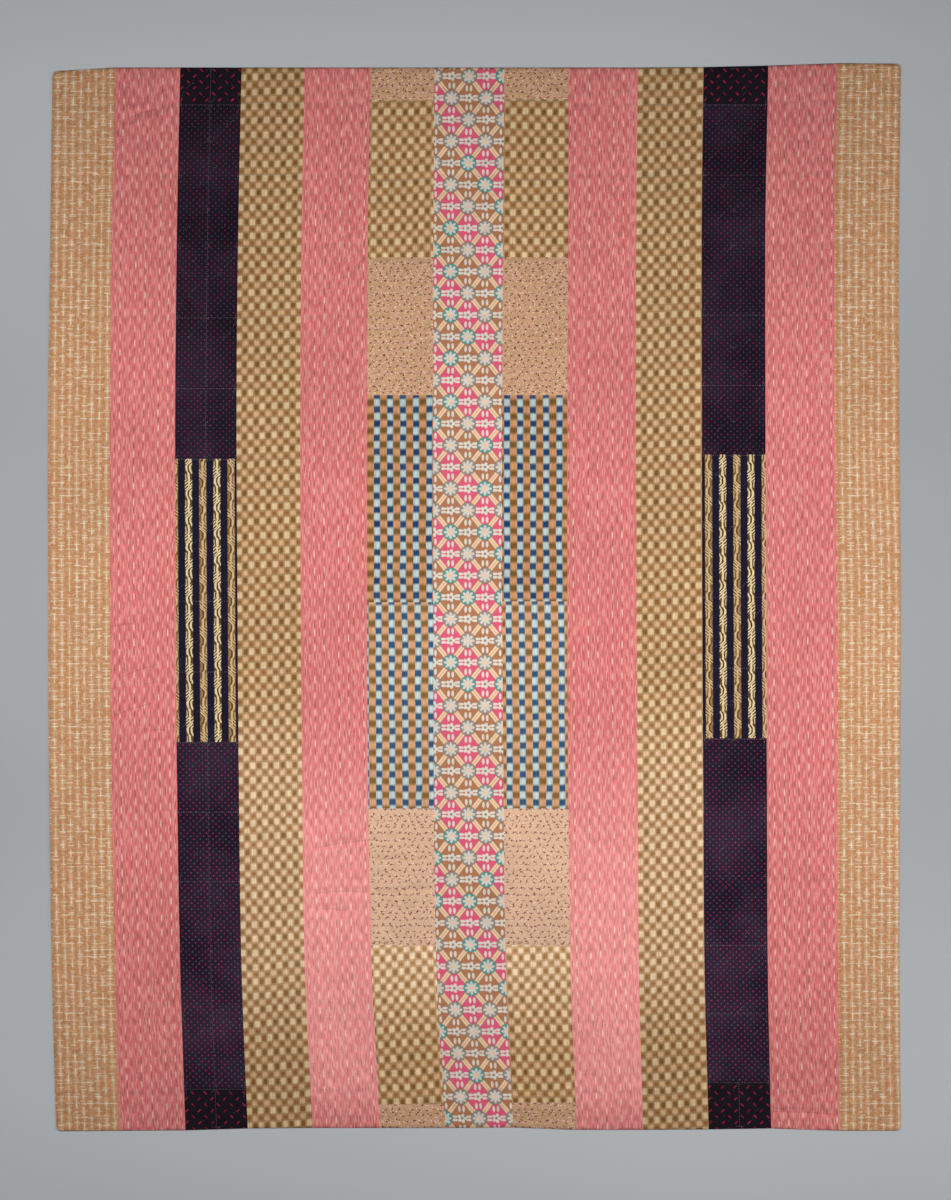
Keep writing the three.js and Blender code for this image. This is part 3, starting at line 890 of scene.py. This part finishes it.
def print_pink_slubs(name, painted_light_by, creases):
    """The printed cotton; painted_light_by is 1 where painted light makes its ends paler, and 0
    elsewhere.
    """
    cloth = Cloth(name)
    upright = cloth.across + (cloth.mottle(90, up=cloth.up * 0.3) - 0.5) * 2
    column = ((upright - 2) / SLUB_COLUMN).floor()
    x = upright - 2 - (column + 0.5) * SLUB_COLUMN
    climbed = cloth.up + column.is_odd() * (SLUB_REPEAT / 2) - column * 0.8
    row = (climbed / SLUB_REPEAT).floor()
    y = climbed - (row + 0.5) * SLUB_REPEAT + (cloth.chance(column, row) - 0.5) * 4
    in_five = column - (column / 5).floor() * 5
    strong = abs(abs(in_five - 1.5) - 1.5).falling(0.2, 0.6)
    slub = (abs(x) / strong.spread(1.0, 1.15)).falling(0.6, 1.6)
    pale = slub * abs(y).falling(4.0, 8.0)
    dark = slub * (SLUB_REPEAT / 2 - abs(y)).falling(4.0, 8.0)
    ground = cloth.blend(cloth.mottle(5, 2, up=cloth.up * 0.4), dye(211, 110, 111), dye(221, 125, 123))
    slide = cloth.chance((cloth.across / HAIR_COLUMN).floor(), 8) * HAIR_REPEAT
    from_hair, from_tip, hair_column, hair_row = cloth.cells(
        HAIR_COLUMN, HAIR_REPEAT, up=cloth.up + slide)
    hair = abs(from_hair).falling(0.3, 1.2) * abs(from_tip).falling(6, 12)
    kind = cloth.chance(hair_column + 70, hair_row)
    ground = cloth.blend(hair * kind.rising(0.5, 0.8) * 0.5, ground, dye(158, 88, 84))
    ground = cloth.blend(hair * kind.falling(0.25, 0.6) * 0.5, ground, dye(238, 180, 166))
    pale_dye = cloth.blend(strong, dye(230, 180, 162), dye(232, 206, 184))
    dark_dye = cloth.blend(strong, dye(140, 84, 74), dye(118, 80, 64))
    uneven = cloth.chance(column + 50, row).spread(0.6, 1.0)
    printed = cloth.blend(dark * uneven * strong.spread(0.7, 0.75), ground, dark_dye)
    printed = cloth.blend(pale * uneven * strong.spread(0.75, 0.85), printed, pale_dye)
    # Painted light: the inner strips are blended paler and brightened towards the foot, and a little at
    # the head.
    painted_foot_light = cloth.up.rising(-150, -650) * cloth.up.falling(-1000, -1140) * painted_light_by
    printed = cloth.blend(painted_foot_light * 0.12, printed, dye(255, 214, 208))
    lighter = painted_foot_light * 0.24 + cloth.up.rising(400, 1050) * painted_light_by * 0.08
    # Painted shade darkens the cloth along the bottom of the creases.
    lightness = cloth.fading(0.3).spread(0.96, 1.05) + lighter - cloth.painted_crease_shade(creases) * 0.2
    return cloth.finish(cloth.shade(printed, lightness))


pink_slub = print_pink_slubs("pink_slub", 0.0, CREASES_AT_LEFT_EDGE + CREASES_AT_RIGHT_EDGE)
# The inner strips carry painted light near the foot and head.
painted_light_pink_slub = print_pink_slubs("painted_light_pink_slub", 1.0, CREASES_LEFT_OF_MIDDLE)
PINK_CUTS = {
    "outer_pink_left": (-12, 0),
    "inner_pink_left": (9, 11),
    "inner_pink_right": (-6, 25),
    "outer_pink_right": (22, 17),
}
for node, cut_from in PINK_CUTS.items():
    cloth = painted_light_pink_slub if "inner" in node else pink_slub
    sew_piece(node, cloth, cut_from)

# Tan strips: the two outer strips, of ochre cotton printed with a broken cream plaid. Upright
# lines and short level bars come and go like worn threads, over rust and ochre tints.
PLAID_COLUMN = 15.9
PLAID_ROW = 14.8
PLAID_BARS = [(8.6, 0), (7.6, 5.0), (5.2, -3.8)]


def print_tan_plaid():
    cloth = Cloth("tan_plaid")
    upright = cloth.across + (cloth.mottle(110, up=cloth.up * 0.3) - 0.5) * 2.5
    x, y, column, row = cloth.cells(PLAID_COLUMN, PLAID_ROW, start=(4.9, 0), across=upright)
    ground = cloth.blend(cloth.mottle(5, 3), dye(180, 132, 84), dye(201, 155, 110))
    rust = cloth.mottle(6, 1, across=cloth.across + 300, up=cloth.up * 0.6).rising(0.42, 0.75)
    ground = cloth.blend(rust * 0.42, ground, dye(204, 120, 82))
    ochre = cloth.mottle(7, 2, across=cloth.across * 0.7, up=cloth.up + 200).rising(0.5, 0.95)
    ground = cloth.blend(ochre * 0.5, ground, dye(166, 122, 66))
    dash_x, dash_y, dash_column, dash_row = cloth.cells(7.95, 3.1, 0.5)
    kind = cloth.chance(dash_column + 300, dash_row)
    dash = abs(dash_x).falling(2.2, 4.0) * abs(dash_y).falling(0.5, 1.5)
    ground = cloth.blend(dash * kind.rising(0.45, 0.8) * 0.6, ground, dye(226, 204, 170))
    ground = cloth.blend(dash * kind.rising(0.1, 0.35) * 0.6, ground, dye(182, 106, 66))
    length_row = (cloth.up / 16.6 + cloth.chance(column, 5) * 0.4).floor()
    strength = (column + length_row).is_odd() * 0.4
    strength = strength + cloth.chance(column, length_row).spread(0.1, 0.45)
    line = abs(x).falling(0.9, 2.3) * strength * cloth.mottle(3.5, 1).spread(0.7, 1.1)
    beside = abs(abs(x) - 3.4).falling(0.3, 1.2) * cloth.chance(column + 5, row).spread(0.0, 0.3)
    cream = cloth.blend(cloth.mottle(12, 1), dye(238, 224, 202), dye(222, 204, 168))
    printed = cloth.blend(beside, ground, cream)
    for share, (reach, offset) in enumerate(PLAID_BARS):
        jitter = (cloth.chance(column + 20 * share, row + 80) - 0.5) * 3
        slide = (cloth.chance(column + 60, row + 7 * share) - 0.5) * 5
        bar = abs(y + jitter - offset).falling(0.5, 1.8) * abs(x + slide).falling(reach - 3, reach)
        showing = cloth.chance(column + 9, row + 30 + 9 * share).rising(0.1, 0.9)
        printed = cloth.blend(bar * showing * (0.8 - 0.25 * share), printed, cream)
    printed = cloth.blend(line, printed, cream)
    return cloth.finish(cloth.shade(printed, cloth.fading(0.3).spread(0.96, 1.05)))


tan_plaid = print_tan_plaid()
for node in nodes_with("outer_tan"):
    sew_piece(node, tan_plaid)

# Middle strip: one whole length of a cotton that is printed with pink and brown lozenges in a
# peach trellis. Each lozenge has a spray in it, and small star flowers sit where they meet.
LOZENGE_ACROSS = 73.0
LOZENGE_UP = 92.0
TRELLIS_SHARE = 0.085


def flower_reach(cloth, x, y, petals, radius, depth):
    """How far out a point is on a flower: under 1 on its petals and over 1 outside them."""
    turn = cloth.maths("ARCTAN2", y, x)
    lobes = abs(cloth.maths("COSINE", turn * (petals / 2)))
    return cloth.distance(x, y) / lobes.spread(radius * (1 - depth), radius)


def print_star_flowers():
    cloth = Cloth("star_print")
    along = cloth.across / LOZENGE_ACROSS
    rise = cloth.up / LOZENGE_UP
    first, second = along + rise, along - rise
    column, row = first.floor(), second.floor()
    in_first, in_second = first - column - 0.5, second - row - 0.5
    x = (in_first + in_second) * (LOZENGE_ACROSS / 2)
    y = (in_first - in_second) * (LOZENGE_UP / 2)
    to_edge = 0.5 - abs(in_first).most(abs(in_second))
    is_pink = column.is_odd()
    ink = cloth.mottle(2.6, 2)

    patch = cloth.blend(is_pink, dye(174, 120, 80), dye(226, 84, 122))
    patch = cloth.blend(ink * 0.25, patch, dye(205, 130, 118))
    fine_lines = cloth.maths("SINE", cloth.up * (2 * math.pi / 4.4)).rising(0.2, 1.0)
    patch = cloth.blend(fine_lines * 0.14, patch, dye(110, 60, 56))
    heart = flower_reach(cloth, x, y, 5, 10.5, 0.45).falling(0.85, 1.1)
    patch = cloth.blend(heart, patch, dye(222, 214, 200))
    eye = cloth.distance(x, y).falling(2.2, 3.6)
    patch = cloth.blend(eye, patch, dye(150, 132, 120))
    leaf = cloth.distance((abs(x) - 15.5) / 7.5, (abs(y) - 3.5) / 3.0).falling(0.75, 1.1)
    bud = cloth.distance((abs(x) - 4.5) / 3.0, (abs(y) - 20.0) / 7.0).falling(0.75, 1.1)
    patch = cloth.blend(leaf.most(bud) * 0.9, patch, dye(226, 220, 206))

    trellis = to_edge.falling(TRELLIS_SHARE, TRELLIS_SHARE + 0.012)
    bar = to_edge.falling(0.018, 0.03)
    rail = abs(to_edge - TRELLIS_SHARE).falling(0.008, 0.02)
    printed = cloth.blend(trellis, patch, dye(240, 206, 168))
    printed = cloth.blend(bar * 0.55, printed, dye(206, 150, 118))
    printed = cloth.blend(rail * 0.45, printed, dye(128, 96, 84))

    corner_x = LOZENGE_ACROSS / 2 - abs(x)
    corner_y = LOZENGE_UP / 2 - abs(y)
    from_corner = cloth.distance(corner_x, y).least(cloth.distance(x, corner_y))
    teal = cloth.chance((first + 0.5).floor(), (second + 0.5).floor()).rising(0.6, 0.61)
    disc_dye = cloth.blend(teal, dye(150, 138, 128), dye(84, 150, 144))
    printed = cloth.blend(from_corner.falling(16.2, 17.4), printed, disc_dye)
    rim = abs(from_corner - 16.8).falling(0.3, 1.2)
    printed = cloth.blend(rim * 0.6, printed, dye(120, 108, 98))
    side_star = flower_reach(cloth, corner_x, y, 8, 14.5, 0.5).falling(0.9, 1.08)
    end_star = flower_reach(cloth, x, corner_y, 8, 14.5, 0.5).falling(0.9, 1.08)
    petals = cloth.blend(ink * 0.7, dye(226, 221, 210), dye(178, 168, 156))
    printed = cloth.blend(side_star.most(end_star), printed, petals)
    button = from_corner.falling(3.4, 4.6)
    printed = cloth.blend(button, printed, dye(238, 196, 160))
    return cloth.finish(cloth.shade(printed, cloth.fading(0.25).spread(0.95, 1.04)))


star_print = print_star_flowers()
sew_piece("centre", star_print)

# Quilting thread: undyed cotton, sewn by hand through all the layers in short running stitches.
# It follows the webs down each strip: eight spokes from each middle, and a lobed ring.
STITCH_PITCH = 5.0 * MM
STITCH_SIZE = (3.2 * MM, 0.6 * MM, 0.45 * MM)
STITCH_LIFT = 0.05 * MM
STITCH_UNEVENNESS = 0.3 * MM
STITCH_TURN = 0.06
CROSS_LINE_STEP = 1.8 * MM
RING_POINTS = 40


def quilting_lines(piece):
    """The lines that the quilter follows on a piece, each a run of places on the quilt."""
    lines = []

    def add(centre, meeting, shares_across, shares_along):
        height = centre + shares_along * (meeting - centre)
        left, right = piece.left_at(height), piece.right_at(height)
        across = (left + right) / 2 + shares_across * (right - left) / 2
        lines.append(np.stack([across, height], axis=1))

    level = np.linspace(-0.985, 0.985, 9)
    upright = np.linspace(0.02, 1, 5)
    for centre, meeting in piece.webs():
        add(centre, meeting, np.zeros(5), upright)
        for side in (-1, 1):
            reach = np.linspace(0.03, DIAGONALS_END_AT, 5)
            add(centre, meeting, side * reach, reach)
        turn = np.linspace(0, math.pi, RING_POINTS)
        ring = ring_share(turn)
        add(centre, meeting, ring * np.cos(turn), ring * np.sin(turn))
        if meeting < centre:
            step = CROSS_LINE_STEP / abs(meeting - centre)
            add(centre, meeting, level, np.full(9, step))
    if piece.at_bottom:
        foot = piece.row_heights[-1]
        add(foot + HEM_STITCH_FROM_END, foot, level, np.zeros(9))
    return lines


def stitches_on(piece, chance):
    """Places, directions and heights of a piece's stitches."""
    places, directions = [], []
    for line in quilting_lines(piece):
        lengths = np.hypot(*np.diff(line, axis=0).T)
        reached = np.concatenate([[0], np.cumsum(lengths)])
        at = np.arange(STITCH_PITCH / 2, reached[-1], STITCH_PITCH)
        at = at + chance.uniform(-1, 1, len(at)) * STITCH_UNEVENNESS
        behind, place, ahead = (
            np.stack([np.interp(at + step, reached, line[:, i]) for i in (0, 1)], axis=1)
            for step in (-1 * MM, 0, 1 * MM)
        )
        places.append(place)
        directions.append(np.arctan2(ahead[:, 1] - behind[:, 1], ahead[:, 0] - behind[:, 0]))
    places, directions = np.concatenate(places), np.concatenate(directions)
    return places, directions, quilted_height(piece, places[:, 0], places[:, 1])


def one_stitch():
    """A stitch as a small closed bead with four sides: its points and faces."""
    bm = bmesh.new()
    bmesh.ops.create_uvsphere(bm, u_segments=4, v_segments=2, radius=0.5)
    bmesh.ops.rotate(bm, verts=bm.verts, matrix=Matrix.Rotation(math.pi / 2, 3, "Y"))
    bmesh.ops.scale(bm, verts=bm.verts, vec=STITCH_SIZE)
    points = np.array([v.co for v in bm.verts])
    faces = np.array([[v.index for v in f.verts] for f in bm.faces])
    bm.free()
    return points, faces


def sew_stitches(strip, pieces, thread):
    """All the stitches of one strip, joined as one piece."""
    chance = np.random.default_rng(len(strip) * 31 + sum(map(ord, strip)))
    points, faces = one_stitch()
    found = [stitches_on(piece, chance) for piece in pieces]
    places, turns, heights = (np.concatenate(rows) for rows in zip(*found))
    turns = turns + chance.normal(0, STITCH_TURN, len(turns))
    cos, sin = np.cos(turns)[:, None], np.sin(turns)[:, None]
    x = places[:, 0:1] + points[:, 0] * cos - points[:, 1] * sin
    y = places[:, 1:2] + points[:, 0] * sin + points[:, 1] * cos
    z = heights[:, None] + points[:, 2] + STITCH_LIFT
    vertices = np.stack([x, y, z], axis=2).reshape(-1, 3)
    numbers = (np.arange(len(places)) * len(points))[:, None, None] + faces
    mesh = bpy.data.meshes.new("quilting_" + strip)
    mesh.from_pydata(vertices, [], numbers.reshape(-1, 3))
    mesh.materials.append(thread)
    stitches = put("quilting_" + strip, mesh)
    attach(stitches, "root")


def spin_thread():
    """Soft undyed cotton thread, a little uneven along its length."""
    material = bpy.data.materials.new("quilting_thread")
    material.use_nodes = True
    tree = material.node_tree
    place = add_node(tree, "TexCoord", {}).outputs["Object"]
    cloudy = add_node(tree, "TexNoise", {"Scale": 60, "Vector": place})
    tints = {0: cloudy.outputs["Fac"], 6: dye(184, 173, 180), 7: dye(140, 130, 142)}
    tint = add_node(tree, "Mix", tints, data_type="RGBA")
    twist = add_node(tree, "TexNoise", {"Scale": 2500, "Vector": place})
    bump = add_node(tree, "Bump", {"Distance": 0.1 * MM, "Height": twist.outputs["Fac"]})
    looks = {
        "Base Color": tint.outputs[2],
        "Roughness": 0.85,
        "Specular IOR Level": 0.2,
        "Normal": bump.outputs[0],
    }
    for name, value in looks.items():
        plug(tree, value, tree.nodes["Principled BSDF"].inputs[name])
    return material


def strip_of(node):
    words = node.split("_")
    return "_".join(words[:2]) if words[0] in ("dark", "pieced") else node


thread = spin_thread()
for strip in sorted({strip_of(piece.node) for piece in sewn_pieces}):
    sew_stitches(strip, [p for p in sewn_pieces if strip_of(p.node) == strip], thread)
